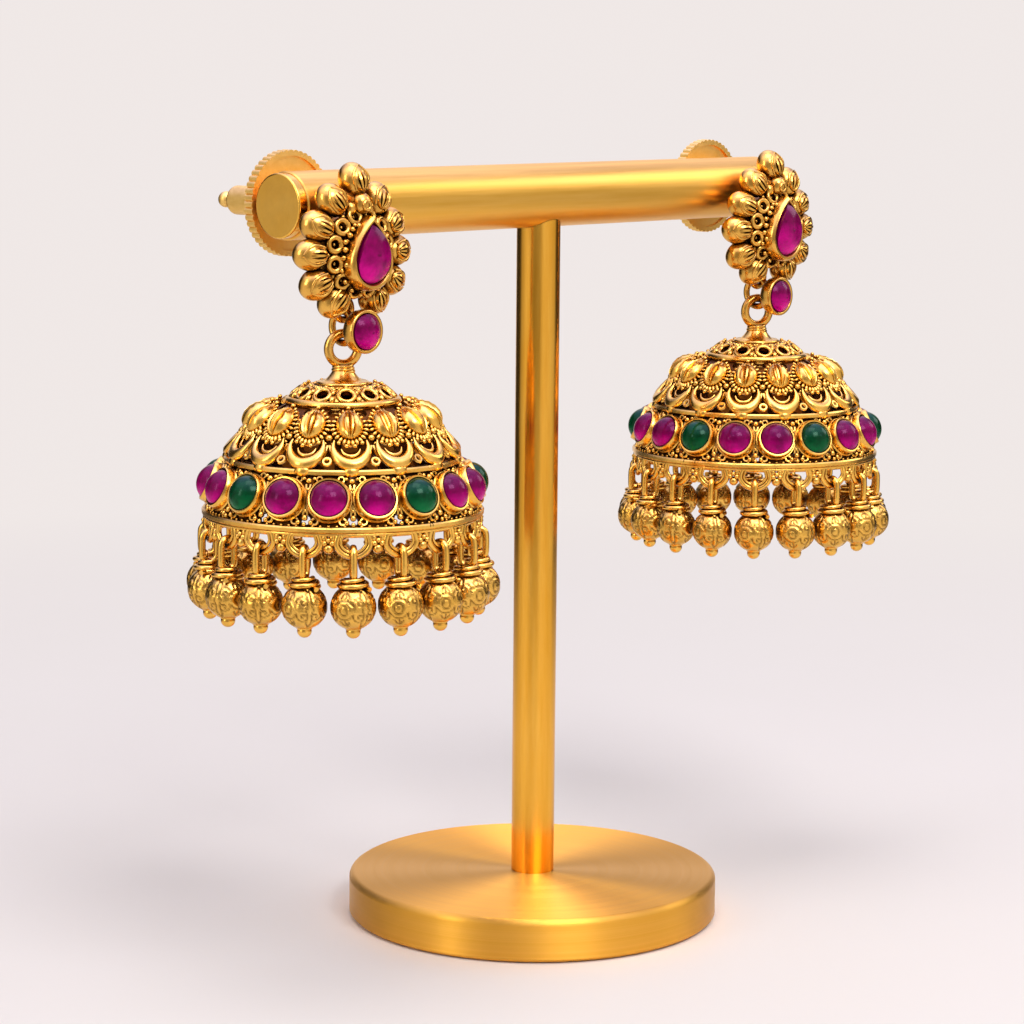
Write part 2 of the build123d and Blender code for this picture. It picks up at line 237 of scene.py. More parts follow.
def grain(tree, place, scale, detail=3.0, rough=0.55, squeeze=None):
    noise = tree.nodes.new("ShaderNodeTexNoise")
    noise.inputs["Scale"].default_value = scale
    noise.inputs["Detail"].default_value = detail
    noise.inputs["Roughness"].default_value = rough
    if squeeze:
        mapping = tree.nodes.new("ShaderNodeMapping")
        mapping.inputs["Scale"].default_value = squeeze
        tree.links.new(place, mapping.inputs["Vector"])
        place = mapping.outputs["Vector"]
    tree.links.new(place, noise.inputs["Vector"])
    return noise.outputs["Fac"]


def remap(tree, value, low, high, newLow, newHigh):
    node = tree.nodes.new("ShaderNodeMapRange")
    node.clamp = True
    for name, amount in (("From Min", low), ("From Max", high), ("To Min", newLow), ("To Max", newHigh)):
        node.inputs[name].default_value = amount
    tree.links.new(value, node.inputs["Value"])
    return node.outputs["Result"]


def combine(tree, operation, first, second):
    node = tree.nodes.new("ShaderNodeMath")
    node.operation = operation
    for i, value in enumerate((first, second)):
        if isinstance(value, (int, float)):
            node.inputs[i].default_value = value
        else:
            tree.links.new(value, node.inputs[i])
    return node.outputs[0]


def mixColours(tree, share, low, high):
    node = tree.nodes.new("ShaderNodeMix")
    node.data_type = "RGBA"
    tree.links.new(share, node.inputs["Factor"])
    for socket, value in ((node.inputs[6], low), (node.inputs[7], high)):
        if isinstance(value, tuple):
            socket.default_value = (*value, 1)
        else:
            tree.links.new(value, socket)
    return node.outputs[2]


def roughen(tree, shader, height, strength, distance):
    bump = tree.nodes.new("ShaderNodeBump")
    bump.inputs["Strength"].default_value = strength
    bump.inputs["Distance"].default_value = distance
    tree.links.new(height, bump.inputs["Height"])
    tree.links.new(bump.outputs["Normal"], shader.inputs["Normal"])


def goldMaterial(name, look):
    material, tree, shader, place = newMaterial(name)
    shader.inputs["Metallic"].default_value = 1.0
    hollow = tree.nodes.new("ShaderNodeAmbientOcclusion")
    hollow.samples = 6
    hollow.inputs["Distance"].default_value = look["recess"] * metre
    clean = remap(tree, hollow.outputs["AO"], look["dark"], look["clear"], 0, 1)
    stain = grain(tree, place, 700, 4)
    clean = combine(tree, "MULTIPLY", clean, remap(tree, stain, 0.3, 0.62, look["stain"], 1))
    if look.get("cuts"):  # the darkened floor of each engraved line
        cuts = tree.nodes.new("ShaderNodeAttribute")
        cuts.attribute_name = "cut"
        clean = combine(tree, "MULTIPLY", clean, remap(tree, cuts.outputs["Fac"], 0, 1, 1, look["cuts"]))
    tone = mixColours(tree, grain(tree, place, 260, 3), look["deep"], look["bright"])
    tree.links.new(mixColours(tree, clean, look["patina"], tone), shader.inputs["Base Color"])
    wear = combine(tree, "MULTIPLY", grain(tree, place, 1500, 3), look["rough"][1])
    dull = remap(tree, clean, 0, 1, look["rough"][0] + 0.2, look["rough"][0])
    tree.links.new(combine(tree, "ADD", dull, wear), shader.inputs["Roughness"])
    roughen(tree, shader, grain(tree, place, look["pit"], 3), look["bump"], 0.0001)
    return material


goldLooks = {
    "antique": {
        "bright": (1.0, 0.61, 0.14),
        "deep": (0.92, 0.47, 0.055),
        "patina": (0.06, 0.013, 0.001),
        "recess": 1.05,
        "dark": 0.17,
        "clear": 0.66,
        "stain": 0.8,
        "rough": (0.13, 0.12),
        "pit": 3200,
        "bump": 0.14,
    },
    "stud": {
        "bright": (0.93, 0.54, 0.12),
        "deep": (0.78, 0.38, 0.05),
        "patina": (0.05, 0.011, 0.001),
        "recess": 1.4,
        "dark": 0.24,
        "clear": 0.8,
        "stain": 0.8,
        "rough": (0.12, 0.12),
        "pit": 3200,
        "bump": 0.12,
    },
    # painted shade: the shell's dark colour stands for the shade behind the ornaments
    "shadow": {
        "bright": (0.24, 0.085, 0.012),
        "deep": (0.13, 0.04, 0.005),
        "patina": (0.03, 0.007, 0.001),
        "recess": 1.6,
        "dark": 0.25,
        "clear": 0.85,
        "stain": 0.6,
        "rough": (0.32, 0.2),
        "pit": 2600,
        "bump": 0.2,
    },
    "polished": {
        "bright": (0.98, 0.58, 0.12),
        "deep": (0.90, 0.46, 0.05),
        "patina": (0.20, 0.06, 0.006),
        "recess": 0.8,
        "dark": 0.1,
        "clear": 0.5,
        "stain": 0.92,
        "rough": (0.12, 0.10),
        "pit": 2400,
        "bump": 0.05,
    },
    "engraved": {
        "bright": (0.96, 0.58, 0.13),
        "deep": (0.80, 0.41, 0.05),
        "patina": (0.07, 0.017, 0.0015),
        "recess": 1.2,
        "dark": 0.14,
        "clear": 0.66,
        "stain": 0.8,
        "cuts": 0.12,
        "rough": (0.13, 0.14),
        "pit": 4200,
        "bump": 0.34,
    },
}
antiqueGold = goldMaterial("antiqueGold", goldLooks["antique"])
studGold = goldMaterial("studGold", goldLooks["stud"])
shadowGold = goldMaterial("shadowGold", goldLooks["shadow"])
polishedGold = goldMaterial("polishedGold", goldLooks["polished"])
engravedGold = goldMaterial("engravedGold", goldLooks["engraved"])

standLooks = {
    "post": {
        "bright": (0.93, 0.50, 0.075),
        "deep": (0.80, 0.37, 0.03),
        "warm": (0.86, 0.42, 0.035),
        "rough": 0.11,
        "bump": 0.16,
        "squeeze": (900, 900, 60),
    },
    "bar": {
        "bright": (0.95, 0.56, 0.12),
        "deep": (0.86, 0.45, 0.06),
        "warm": (0.90, 0.49, 0.07),
        "rough": 0.27,
        "bump": 0.18,
        "squeeze": (40, 1200, 1200),
    },
    "base": {
        "bright": (0.88, 0.47, 0.07),
        "deep": (0.78, 0.38, 0.037),
        "warm": (0.82, 0.41, 0.042),
        "rough": 0.36,
        "bump": 0.22,
        "squeeze": (2600, 2600, 3200),
    },
    "screw": {
        "bright": (0.95, 0.63, 0.20),
        "deep": (0.87, 0.53, 0.12),
        "warm": (0.90, 0.56, 0.13),
        "rough": 0.34,
        "bump": 0.12,
        "squeeze": (1100, 1100, 1100),
    },
}


def brushedMaterial(name, look, turnedPiece=False):
    material, tree, shader, place = newMaterial(name)
    shader.inputs["Metallic"].default_value = 1.0
    along = place
    if turnedPiece:  # lines that run round the axis, on the top as on the side
        flat = tree.nodes.new("ShaderNodeVectorMath")
        flat.operation = "MULTIPLY"
        flat.inputs[1].default_value = (1, 1, 0)
        tree.links.new(place, flat.inputs[0])
        reach = tree.nodes.new("ShaderNodeVectorMath")
        reach.operation = "LENGTH"
        tree.links.new(flat.outputs["Vector"], reach.inputs[0])
        split = tree.nodes.new("ShaderNodeSeparateXYZ")
        tree.links.new(place, split.inputs["Vector"])
        radial = tree.nodes.new("ShaderNodeCombineXYZ")
        tree.links.new(reach.outputs["Value"], radial.inputs["X"])
        tree.links.new(split.outputs["Z"], radial.inputs["Z"])
        along = radial.outputs["Vector"]
    lines = grain(tree, along, 1.0, 4, 0.7, look["squeeze"])
    clouds = grain(tree, place, 60, 3)
    colour = mixColours(tree, remap(tree, lines, 0.3, 0.7, 0, 1), look["deep"], look["bright"])
    warm = mixColours(tree, remap(tree, clouds, 0.35, 0.7, 0, 0.4), colour, look["warm"])
    tree.links.new(warm, shader.inputs["Base Color"])
    rough = remap(tree, lines, 0.3, 0.7, look["rough"], look["rough"] + 0.12)
    rough = combine(tree, "ADD", rough, combine(tree, "MULTIPLY", clouds, 0.06))
    tree.links.new(rough, shader.inputs["Roughness"])
    roughen(tree, shader, lines, look["bump"], 0.00006)
    if turnedPiece:
        shader.inputs["Anisotropic"].default_value = 0.9
        shader.inputs["Anisotropic Rotation"].default_value = 0.25
        lathe = tree.nodes.new("ShaderNodeTangent")
        lathe.direction_type = "RADIAL"
        lathe.axis = "Z"
        tree.links.new(lathe.outputs["Tangent"], shader.inputs["Tangent"])
    return material


postGold = brushedMaterial("postGold", standLooks["post"])
barGold = brushedMaterial("barGold", standLooks["bar"])
baseGold = brushedMaterial("baseGold", standLooks["base"], turnedPiece=True)
screwGold = brushedMaterial("screwGold", standLooks["screw"])


def stoneMaterial(name, look):
    material, tree, shader, place = newMaterial(name)
    normal = tree.nodes.new("ShaderNodeNewGeometry")
    parts = tree.nodes.new("ShaderNodeSeparateXYZ")
    tree.links.new(normal.outputs["Normal"], parts.inputs["Vector"])
    cloud = grain(tree, place, 420, 4, 0.6)
    fleck = grain(tree, place, 1700, 3, 0.7)
    # painted glow: the downward-facing side is made brighter, as if light came through the stone and out at
    # its foot
    paintedGlow = remap(tree, parts.outputs["Z"], 0.2, -0.55, 0, 1)
    paintedGlowMask = combine(tree, "MULTIPLY", paintedGlow, remap(tree, cloud, 0.32, 0.62, 0.3, 1))
    body = mixColours(tree, remap(tree, cloud, 0.35, 0.65, 0, 1), look["dark"], look["body"])
    milky = mixColours(tree, remap(tree, fleck, 0.52, 0.75, 0, 0.3), body, look["milk"])
    # the stone's body colour with the painted glow mixed in
    inside = mixColours(tree, paintedGlowMask, milky, look["paintedGlow"])
    paintedSeatShade = tree.nodes.new("ShaderNodeAmbientOcclusion")  # painted shade: darker where the stone dips into its cup and the bezel shades it
    paintedSeatShade.samples = 6
    paintedSeatShade.inputs["Distance"].default_value = 0.9 * metre
    rim = remap(tree, paintedSeatShade.outputs["AO"], 0.5, 0.95, 0.1, 1)
    tree.links.new(mixColours(tree, rim, look["dark"], inside), shader.inputs["Base Color"])
    tree.links.new(remap(tree, fleck, 0.3, 0.7, 0.13, 0.2), shader.inputs["Roughness"])
    shader.inputs["IOR"].default_value = 1.5
    shader.inputs["Specular IOR Level"].default_value = 0.22
    shader.inputs["Specular Tint"].default_value = (*look["shine"], 1)
    roughen(tree, shader, cloud, 0.04, 0.0001)
    return material


stoneLooks = {
    "ruby": {
        "dark": (0.09, 0.0, 0.03),
        "body": (0.23, 0.0, 0.08),
        "milk": (0.31, 0.0, 0.12),
        "paintedGlow": (0.80, 0.0, 0.32),
        "shine": (1.0, 0.38, 0.8),
    },
    "emerald": {
        "dark": (0.0, 0.02, 0.005),
        "body": (0.0, 0.055, 0.016),
        "milk": (0.002, 0.09, 0.03),
        "paintedGlow": (0.0, 0.18, 0.044),
        "shine": (0.5, 1.0, 0.7),
    },
}
stoneMaterials = {name: stoneMaterial(name, look) for name, look in stoneLooks.items()}


def dress(piece, material):
    piece.data.materials.clear()
    piece.data.materials.append(material)


def finishPiece(piece, name, body, material, place, replaced=()):
    piece.data.transform(Matrix.Scale(metre, 4) @ place)
    piece.name = name
    piece.data.name = name
    dress(piece, material)
    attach(piece, body)
    if replaced:
        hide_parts(*replaced)
    return piece


print("helpers and materials ready")

# where things are, from the frame


def middle(node):
    low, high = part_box(node)
    return (low + high) / 2 / metre


bellAxis = {side: middle(f"{side}_bell") for side in sides}
studMiddle = {side: middle(f"{side}_pear_stone") for side in sides}
bellTurn = {"left": -129.5, "right": -100.8}


def bellPlace(side):
    axis = bellAxis[side]
    return Matrix.Translation((axis.x, axis.y, 0)) @ aboutZ(math.radians(bellTurn[side]))


dome = {"centre": 56.3, "inner": 12.8}


def domePlace(polar, azimuth, distance):
    p = math.radians(polar)
    out = Vector((math.sin(p) * math.cos(azimuth), math.sin(p) * math.sin(azimuth), math.cos(p)))
    origin = Vector((0, 0, dome["centre"])) + out * distance
    return frameOf(origin, (-math.sin(azimuth), math.cos(azimuth), 0), out)


wall = {"top": (13.0, 61.6), "foot": (15.5, 56.0)}


def wallPlace(azimuth, share, lift=0.0):
    run, drop = wall["foot"][0] - wall["top"][0], wall["foot"][1] - wall["top"][1]
    slant = math.hypot(run, drop)
    outR, outZ = -drop / slant, run / slant
    radius = wall["top"][0] + run * share + outR * lift
    height = wall["top"][1] + drop * share + outZ * lift
    c, s = math.cos(azimuth), math.sin(azimuth)
    return frameOf((radius * c, radius * s, height), (-s, c, 0), (outR * c, outR * s, outZ))


def moved(x=0.0, y=0.0, z=0.0):
    return Matrix.Translation((x, y, z))


# bell: shell

shellSize = {
    "steps": 90,
    "outer": 13.35,
    "arc": (25.5, 62.5),
    "holesDome": 15,
    "holesWall": 18,
    "cutDistance": 13.0,
    "trianglePolar": 61.0,
    "crownHolePolar": 31.5,
    "petalHolePolar": 52.5,
}


def bellShell():
    low, high = shellSize["arc"]
    distance = shellSize["cutDistance"]
    outer = [(r, z + dome["centre"]) for r, z in arcPoints(shellSize["outer"], low, high, 9)]
    inner = [(r, z + dome["centre"]) for r, z in arcPoints(dome["inner"], high, low, 9)]
    part = turned(outer + inner, shellSize["steps"])
    cone = turned([(12.9, 61.7), (15.45, 56.0), (14.7, 56.0), (12.15, 61.7)], shellSize["steps"])
    cuts = []
    for a in around(shellSize["holesDome"], 12):
        bpy.ops.mesh.primitive_cone_add(vertices=3, radius1=1.35, radius2=1.35, depth=5)
        place = domePlace(shellSize["trianglePolar"], a, distance) @ aboutZ(math.pi / 2) @ moved(-0.1)
        cuts += copiesAt(settle(bpy.context.object), [place])
        bpy.ops.mesh.primitive_cylinder_add(vertices=10, radius=0.75, depth=4)
        cuts += copiesAt(settle(bpy.context.object), [domePlace(shellSize["crownHolePolar"], a, distance)])
        bpy.ops.mesh.primitive_cylinder_add(vertices=12, radius=0.8, depth=4, scale=(1.2, 1, 1))
        place = domePlace(shellSize["petalHolePolar"], a - math.radians(12), distance)
        cuts += copiesAt(settle(bpy.context.object), [place])
    pierce(part, cuts)
    cuts = []
    for a in around(shellSize["holesWall"]):
        for share, radius in ((0.13, 0.5), (0.85, 0.6)):
            bpy.ops.mesh.primitive_cylinder_add(vertices=8, radius=radius, depth=4)
            cuts += copiesAt(settle(bpy.context.object), [wallPlace(a, share)])
    pierce(cone, cuts)
    return smooth(joinPieces([part, cone, paintedShadeLining()], "shell"), 30)


# bell: grooved petals in beaded borders

petalSize = {
    "count": 15,
    "polar": 43.6,
    "distance": 13.98,
    "halfWide": 1.56,
    "halfTall": 2.12,
    "deep": 1.3,
    "border": (1.84, 2.36),
    "ridges": (52, 77, 103, 128),
    "taper": ((0.9, 0.99, 0.4), (0.72, 0.9, 0.55), (0.45, 0.72, 0.76), (0.1, 0.45, 0.92), (-0.9, -0.3, 1.05)),
}


def almond(ridges, cut):
    bpy.ops.mesh.primitive_uv_sphere_add(segments=48, ring_count=16, radius=1, rotation=(math.pi / 2, 0, 0))
    part = settle(bpy.context.object)

    def inGroove(co):
        angle = math.degrees(math.atan2(co.z, co.x))
        between = [(a + b) / 2 for a, b in zip(ridges, ridges[1:])]
        return co.z > 0.05 and min(abs(angle - a) for a in between) < 4.5

    sizeVerts(part, inGroove, (cut, 1, cut))
    for low, high, by in petalSize["taper"]:
        sizeVerts(part, lambda co: low < co.y < high, (by, 1, by))
    sizeVerts(part, lambda co: co.y > 0.99, (1, 1.14, 1))
    part.scale = (petalSize["halfWide"], petalSize["halfTall"], petalSize["deep"])
    return settle(part)


def borderPoints(wide, tall, count, start=-238, end=58):
    made = []
    for i in range(count):
        a = math.radians(start + (end - start) * i / (count - 1))
        lift = max(0.0, math.sin(a)) ** 1.5 * 0.5
        made.append((wide * math.cos(a) * (1 - lift), tall * math.sin(a) * (1 + 0.12 * lift), 0))
    return made


def petalUnit():
    parts = [copiesAt(almond(petalSize["ridges"], 0.73), [moved(0, 0.12, 0.3)])[0]]
    wide, tall = petalSize["border"]
    for x, y, z in borderPoints(wide, tall, 22):
        lean = math.atan2(y / tall, x / wide)
        size = 0.2 - 0.05 * y / tall  # the beads grow towards the foot
        parts.append(ball(size, (x, y - 0.05, 0.22), (1.9, 0.95, 1.2), 2, lean))
    for angle in (-125, -102, -78, -55):
        a = math.radians(angle)
        parts.append(ball(0.27, ((wide + 0.42) * math.cos(a), (tall + 0.5) * math.sin(a), 0.12)))
    parts.append(ball(0.27, (0, 2.5, 0.3)))
    rail = [(x, y - 0.05, -0.25) for x, y, z in borderPoints(wide, tall, 12)]
    parts.append(bentWire(rail, 0.24, roundness=1))
    return smooth(joinPieces(parts), 50)


def bellPetals():
    places = [domePlace(petalSize["polar"], a, petalSize["distance"]) for a in around(petalSize["count"])]
    return joinPieces(copiesAt(petalUnit(), places), "petals")


# bell: crescent cups under the petals

crescentSize = {"count": 15, "polar": 55.9, "distance": 13.75, "radius": 2.05, "thick": 0.7}


def crescentUnit():
    arc = arcPoints(crescentSize["radius"], 150, 390, 17)
    swell = [0.12 + 1.02 * math.sin(math.pi * i / 16) ** 1.15 for i in range(17)]
    moon = bentWire(
        [(x * (1 - 0.12 * math.sin(math.pi * i / 16)), y * 0.98, 0) for i, (x, y) in enumerate(arc)],
        crescentSize["thick"],
        thickness=swell,
        roundness=3,
    )
    moon.scale = (1, 1, 0.82)
    moon.location = (0, 0, 0.6)
    settle(moon)
    arc = arcPoints(1.05, 186, 354, 11)
    swell = [0.3 + 0.8 * math.sin(math.pi * i / 10) for i in range(11)]
    inner = bentWire([(x, y + 0.15, 0.4) for x, y in arc], 0.25, thickness=swell, roundness=2)
    bpy.ops.mesh.primitive_uv_sphere_add(
        segments=14, ring_count=8, radius=1, location=(0, -2.6, 0.3), scale=(1.0, 0.8, 0.62)
    )
    keel = bpy.context.object
    return smooth(joinPieces([moon, inner, keel]), 50)


def crescentGrains():
    parts = [ball(0.4, (0, -0.1, 0.4)), ball(0.24, (-0.42, -0.65, 0.1)), ball(0.24, (0.42, -0.65, 0.1))]
    for way in (-1, 1):
        leg = [(0.1 * way, -0.9, 0.05), (0.34 * way, -1.8, 0.0), (0.8 * way, -2.9, 0.05)]
        parts.append(bentWire(leg, 0.2, roundness=1))
    parts.append(ring(0.42, 0.19, (0, -3.0, 0.15), around=14, section=6))
    return smooth(joinPieces(parts), 50)


def bellCrescents():
    count = crescentSize["count"]
    places = [domePlace(crescentSize["polar"], a, crescentSize["distance"]) for a in around(count)]
    parts = copiesAt(crescentUnit(), places)
    parts += copiesAt(crescentGrains(), [domePlace(50.5, a, 14.0) for a in around(count, 12)])
    return joinPieces(parts, "crescents")


# bell: crown and neck

crownSize = {"arches": 12, "rim": (6.14, 68.36, 0.52), "openings": (5.2, 69.26, 0.84), "tilt": 40}


def crownPlace(azimuth, radius, height, tilt):
    t = math.radians(tilt)
    c, s = math.cos(azimuth), math.sin(azimuth)
    out = (math.sin(t) * c, math.sin(t) * s, math.cos(t))
    return frameOf((radius * c, radius * s, height), (-s, c, 0), out)


def bellCrown():
    cap = turned(
        [
            (6.1, 68.3), (6.02, 68.6), (5.5, 69.15), (4.9, 69.6), (4.2, 69.9), (2.5, 70.0),
            (2.5, 69.6), (4.0, 69.5), (4.6, 69.2), (5.2, 68.75), (5.5, 68.3),
        ],
        72,
    )
    radius, height, opening = crownSize["openings"]
    cuts = []
    for a in around(crownSize["arches"]):
        bpy.ops.mesh.primitive_cylinder_add(vertices=16, radius=opening, depth=3)
        cuts += copiesAt(settle(bpy.context.object), [crownPlace(a, radius, height, crownSize["tilt"])])
    pierce(cap, cuts)
    parts = [smooth(cap, 30)]
    unit = [ring(opening + 0.06, 0.27, (0, 0, 0.1), around=22, section=8)]
    unit += [ball(0.36, (1.36, -0.5, 0.02), (0.9, 1.4, 1)), ball(0.28, (1.16, 0.5, 0.05), (0.8, 1.5, 1))]
    unit.append(ball(0.24, (0, 1.22, 0.15)))
    places = [crownPlace(a, radius, height + 0.08, crownSize["tilt"]) for a in around(crownSize["arches"])]
    parts += copiesAt(smooth(joinPieces(unit), 50), places)
    unit = [ring(0.34, 0.15, around=12, section=6), ball(0.2, (0.55, 0, 0.05))]
    places = [crownPlace(a, 3.75, 70.0, 12) for a in around(2 * crownSize["arches"], 7.5)]
    parts += copiesAt(smooth(joinPieces(unit), 50), places)
    radius, height, wire = crownSize["rim"]
    parts.append(smooth(ring(radius, wire, (0, 0, height), around=96, section=10), 60))
    parts.append(smooth(ring(radius - 0.3, 0.3, (0, 0, height - 0.62), around=72, section=8), 60))
    flange = turned(
        [
            (0, 69.9), (2.6, 69.9), (2.95, 70.06), (3.04, 70.28), (2.98, 70.48), (2.78, 70.6),
            (2.5, 70.52), (2.2, 70.6), (1.9, 70.84), (1.6, 71.16), (1.36, 71.5), (1.16, 71.9),
            (1.0, 72.3), (0, 72.4),
        ],
        56,
    )
    parts.append(smooth(flange, 50))
    coil = []
    for i in range(31):
        share = i / 30
        a = 2 * math.pi * 2.3 * share
        r = 1.24 - 0.18 * share
        coil.append((r * math.cos(a), r * math.sin(a), 71.6 + 0.75 * share))
    parts.append(smooth(bentWire(coil, 0.21, roundness=2, stepsPerPoint=2), 60))
    return joinPieces(parts, "crown")


# a dark sheet under the crown cap, joined to the shell and coloured with it: painted shade in the crown's
# openings
def paintedShadeLining():
    over = [(0, 69.2), (3.0, 69.0), (5.0, 68.1), (5.7, 67.6)]
    under = [(5.5, 67.4), (4.8, 67.8), (2.9, 68.6), (0, 68.8)]
    return smooth(turned(over + under, 48), 40)


ringSize = {"radius": 1.75, "wire": 0.55, "height": 74.2, "turn": -24.0}


def bellRing():
    a = math.radians(ringSize["turn"])
    across = (math.sin(a), -math.cos(a), 0)
    part = ring(ringSize["radius"], ringSize["wire"], around=48, section=14)
    return copiesAt(smooth(part, 60), [frameOf((0, 0, ringSize["height"]), (0, 0, 1), across)])[0]


# bell: settings, filigree and bands

settingSize = {"count": 18, "rise": 1.3}


def settingUnit():
    rise = settingSize["rise"]
    cup = turned(
        [
            (2.05, 0.2), (2.05, rise - 0.1), (2.12, rise + 0.02), (2.26, rise + 0.04),
            (2.36, rise - 0.08), (2.4, 0.9), (2.44, 0.4), (2.48, -0.4), (1.9, -0.5), (1.9, 0.2),
        ],
        36,
    )
    skirt = ring(2.42, 0.16, (0, 0, 0.3), around=36, section=6)
    return smooth(joinPieces([cup, skirt]), 35)


def filigreeUnit():
    parts = [ball(0.34, (0, 2.2, 0.3)), ball(0.26, (-0.6, 2.5, 0.15)), ball(0.26, (0.6, 2.5, 0.15))]
    parts += [ball(0.24, (x, y, 0.3)) for x, y in ((0, 1.2), (0, -1.2))]
    parts += [ball(0.36, (0, -2.0, 0.3)), ball(0.3, (-0.72, -2.5, 0.25))]
    parts += [ball(0.3, (0.72, -2.5, 0.25)), ball(0.26, (0, -2.75, 0.35))]
    for x in (-1, 1):
        parts.append(ring(0.36, 0.15, (x * 1.15, -2.35, 0.15), around=12, section=6))
        parts.append(ring(0.32, 0.14, (x * 1.15, 2.45, 0.1), around=12, section=6))
    bow = [(-0.24, 1.8, 0.2), (-0.1, 0.6, 0.35), (-0.1, -0.6, 0.35), (-0.24, -1.7, 0.2)]
    parts.append(bentWire(bow, 0.17, roundness=1))
    parts.append(bentWire([(-x, y, z) for x, y, z in bow], 0.17, roundness=1))
    return smooth(joinPieces(parts), 50)


def bellSettings():
    count = settingSize["count"]
    parts = copiesAt(settingUnit(), [wallPlace(a, 0.5) for a in around(count, 10)])
    parts += copiesAt(filigreeUnit(), [wallPlace(a, 0.5) for a in around(count)])
    return joinPieces(parts, "settings")


bandSize = {"upper": (12.7, 13.55, 61.5, 62.15), "lower": (15.1, 16.12, 55.5, 56.15), "notches": 7}


def bellBands():
    parts = []
    for name in ("upper", "lower"):
        low, high, foot, top = bandSize[name]
        strip = turned(
            [
                (low, foot + 0.06), (low + 0.06, foot), (high - 0.16, foot),
                (high - 0.02, foot + 0.12), (high, top - 0.16), (high - 0.14, top),
                (low + 0.06, top), (low, top - 0.06),
            ],
            120,
        )
        cuts = []
        for i in range(bandSize["notches"]):  # the strip is soldered from short lengths
            a = random.uniform(0, 2 * math.pi)
            bpy.ops.mesh.primitive_cube_add(size=1, location=(high, 0, top), scale=(0.5, 0.1, 0.7))
            cuts += copiesAt(settle(bpy.context.object), [aboutZ(a)])
        pierce(strip, cuts)
        parts.append(smooth(strip, 30))
    parts.append(smooth(turned([(14.6, 55.6), (15.3, 55.6), (15.3, 56.2), (14.9, 56.2)], 90), 30))
    parts.append(smooth(ring(15.72, 0.22, (0, 0, 55.34), around=120, section=8), 60))
    places = [aboutZ(a) @ moved(15.5, 0, 56.2) for a in around(108)]
    parts += copiesAt(smooth(ball(0.2), 60), places)
    return joinPieces(parts, "bands")


# bell: fringe of loops and grains

fringeSize = {"count": 18, "radius": 15.52, "height": 54.64}


def fringePlace(azimuth):
    return aboutZ(azimuth + math.pi / 2) @ moved(0, -fringeSize["radius"], 0)


def loopUnit():
    def festoon(wide, foot, top):
        middleHeight = fringeSize["height"] + 0.2
        drop = middleHeight - foot
        curve = [(x, middleHeight + z * drop / wide) for x, z in arcPoints(wide, 190, 350, 9)]
        ends = [(-wide * 0.8, top), *curve, (wide * 0.8, top)]
        return [(x, 0, z) for x, z in ends]

    outer = bentWire(festoon(2.0, 52.85, 55.35), 0.36, roundness=2)
    inner = bentWire([(x, -0.2, z) for x, y, z in festoon(1.5, 53.35, 55.3)], 0.17, roundness=2)
    bar = bentWire([(-1.7, 0, 55.25), (0, 0, 55.2), (1.7, 0, 55.25)], 0.26, roundness=2)
    return smooth(joinPieces([outer, inner, bar]), 60)


def grainUnit():
    parts = [ball(0.4, (x, 0.0, 54.95), (1, 1, 1.3)) for x in (-0.44, 0.44)]
    parts += [ball(0.34, (x, -0.25, 54.4)) for x in (-0.42, 0.42)]
    parts.append(ball(0.58, (0, 0, 53.78), detail=3))
    parts.append(ball(0.3, (0, -0.35, 54.75)))
    return smooth(joinPieces(parts), 60)


def bellFringe():
    parts = copiesAt(loopUnit(), [fringePlace(a) for a in around(fringeSize["count"])])
    parts += copiesAt(grainUnit(), [fringePlace(a) for a in around(fringeSize["count"], 10)])
    return joinPieces(parts, "fringe")


# drops

dropSize = {"bead": 2.53, "height": 47.3, "foot": 2.35}
engraving = {"panels": 3, "halfWidth": 2.3, "depth": 0.962}


def engravedLines():
    lines = []
    leaf = ((0, -58), (9, -40), (4, -14), (11, 0), (4, 14), (9, 40), (0, 58))
    share = 360 / engraving["panels"]
    for i in range(engraving["panels"]):
        mid = share * i
        lines.append([(mid + 0.85 * x, y) for x, y in arcPoints(13, 0, 360, 17)])  # a round eye
        for way in (1, -1):
            lines.append([(mid + x, way * y) for x, y in arcPoints(26, 25, 155, 11)])
            lines.append([(mid + 0.8 * x, way * (30 + y)) for x, y in arcPoints(17, 10, 170, 9)])
            lines.append([(mid, way * 28), (mid + 3, way * 38), (mid, way * 50)])
            for side in (1, -1):  # a scroll on each side that winds inwards
                scroll = []
                for k in range(13):
                    a = math.radians(215 - 38 * k)
                    r = 19 - 1.35 * k
                    scroll.append((mid + side * (43 + r * math.cos(a)), way * (19 + 0.9 * r * math.sin(a))))
                lines.append(scroll)
        far = mid + share / 2
        for side in (1, -1):  # a long leaf between two eyes
            lines.append([(far + side * x, y) for x, y in leaf])
    return lines


